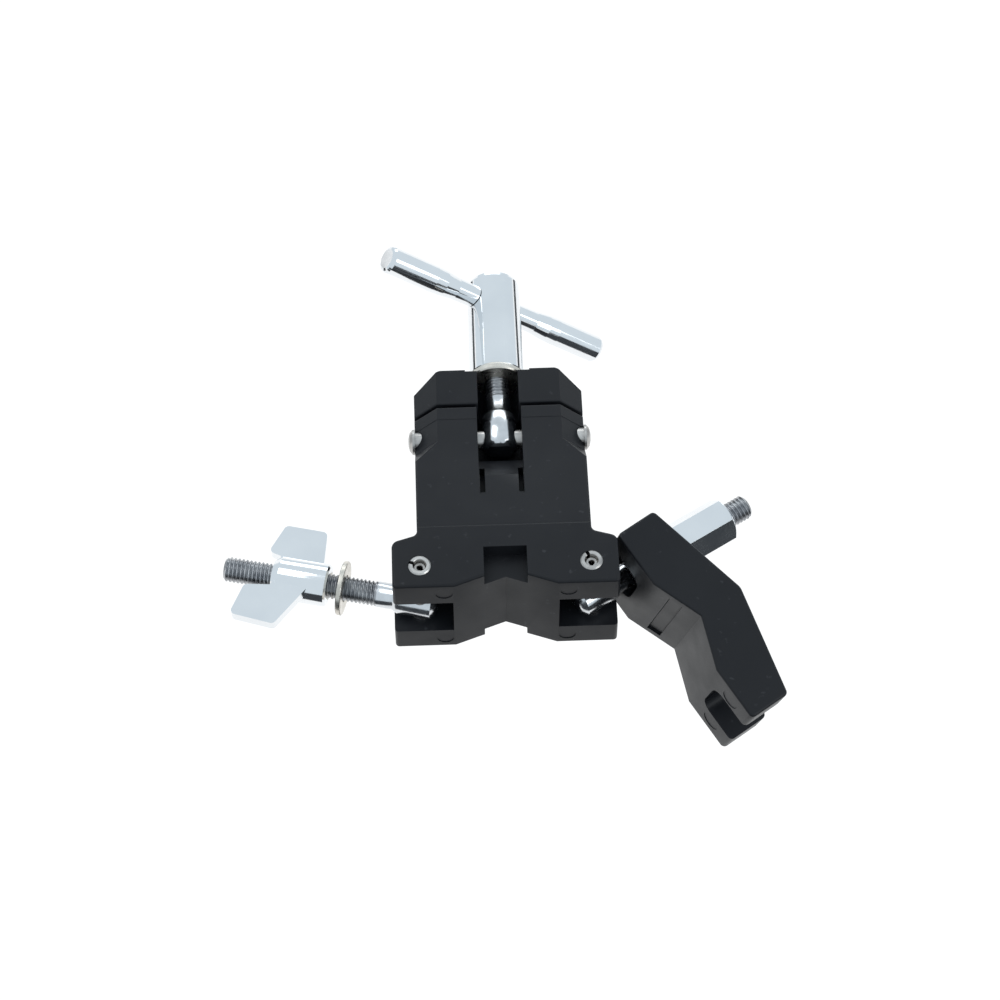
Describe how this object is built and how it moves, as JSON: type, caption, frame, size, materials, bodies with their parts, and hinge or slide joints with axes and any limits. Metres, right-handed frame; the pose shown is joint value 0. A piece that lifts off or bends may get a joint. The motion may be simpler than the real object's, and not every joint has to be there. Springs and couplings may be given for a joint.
{
  "type": "stand multi clamp",
  "caption": "Clamp that joins a rod to an upright stand tube: a V saddle with a hinged V jaw, swing bolts with wing and hex nuts, and a hinged cap closed by a T-handled eye bolt.",
  "frame": {"origin": "middle of the mouth of the V saddle, halfway through the depth of the casting", "axes": "+X to the right towards the jaw side, +Y from the saddle towards the T handle, +Z out of the front face, along the upright stand tube"},
  "size_m": [0.1713, 0.1597, 0.0747],
  "materials": {
    "black_casting": "satin black coating on a light-alloy die casting",
    "chrome": "bright plated",
    "zinc_steel": "zinc plated",
    "steel_pin": "plain steel"
  },
  "bodies": {
    "base": {"body_casting": "black_casting", "left_spring_pin": "steel_pin", "right_spring_pin": "steel_pin", "left_core_pin": "steel_pin", "right_core_pin": "steel_pin", "t_bolt_rivet": "steel_pin", "cap_hinge_pin": "steel_pin"},
    "cap": {"clamp_cap": "black_casting"},
    "eye_bolt": {"t_bolt": "zinc_steel"},
    "eye_bolt_washer": {"t_washer": "zinc_steel"},
    "t_handle": {"t_nut_barrel": "chrome", "left_grip": "chrome", "right_grip": "chrome"},
    "left_swing_bolt": {"left_bolt": "zinc_steel"},
    "left_swing_washer": {"left_washer": "zinc_steel"},
    "wing": {"wing_nut": "chrome"},
    "right_swing_bolt": {"right_bolt": "zinc_steel"},
    "hex": {"hex_nut": "chrome"},
    "jaw": {"v_jaw": "black_casting"}
  },
  "joints": [
    {"name": "t_bolt_swing", "type": "hinge", "parent": "base", "child": "eye_bolt", "pos_m": [0, 0.06, 0.007], "axis": [1, 0, 0], "range_deg": [0, 75]},
    {"name": "t_washer_travel", "type": "slide", "parent": "eye_bolt", "child": "eye_bolt_washer", "axis": [0, 1, 0], "range_m": [0, 0.02188]},
    {"name": "t_handle_turn", "type": "hinge", "parent": "eye_bolt_washer", "child": "t_handle", "pos_m": [0, 0.0834, 0.007], "axis": [0, 1, 0], "range_deg": [0, 6300]},
    {"name": "cap_hinge", "type": "hinge", "parent": "base", "child": "cap", "pos_m": [0, 0.06815, -0.0134], "axis": [-1, 0, 0], "range_deg": [0, 20]},
    {"name": "left_bolt_swing", "type": "hinge", "parent": "base", "child": "left_swing_bolt", "pos_m": [-0.0261, 0.0075, 0], "axis": [0, 0, 1], "range_deg": [-20, 103.1]},
    {"name": "left_washer_travel", "type": "slide", "parent": "left_swing_bolt", "child": "left_swing_washer", "axis": [-0.974, 0.2267, 0], "range_m": [-0.0051, 0.0101]},
    {"name": "wing_nut_turn", "type": "hinge", "parent": "left_swing_washer", "child": "wing", "pos_m": [-0.0261, 0.0075, -0.003], "axis": [-0.974, 0.2267, 0], "range_deg": [-1440, 2880]},
    {"name": "right_bolt_swing", "type": "hinge", "parent": "base", "child": "right_swing_bolt", "pos_m": [0.0261, 0.0075, 0], "axis": [0, 0, 1], "range_deg": [-121.6, 0]},
    {"name": "hex_nut_travel", "type": "slide", "parent": "right_swing_bolt", "child": "hex", "axis": [0.8517, 0.524, 0], "range_m": [0, 0.022]},
    {"name": "jaw_turn", "type": "hinge", "parent": "hex", "child": "jaw", "pos_m": [0.0261, 0.0075, -0.003], "axis": [0.8517, 0.524, 0], "range_deg": [-42, 8]}
  ],
  "couplings": [
    {"joint": "t_washer_travel", "follows": "t_handle_turn", "m_per_rad": 0.00019894},
    {"joint": "t_bolt_swing", "follows": "t_handle_turn", "ratio": 0.011905},
    {"joint": "cap_hinge", "follows": "t_handle_turn", "ratio": 0.0031746},
    {"joint": "left_washer_travel", "follows": "wing_nut_turn", "m_per_rad": 0.00019894}
  ]
}
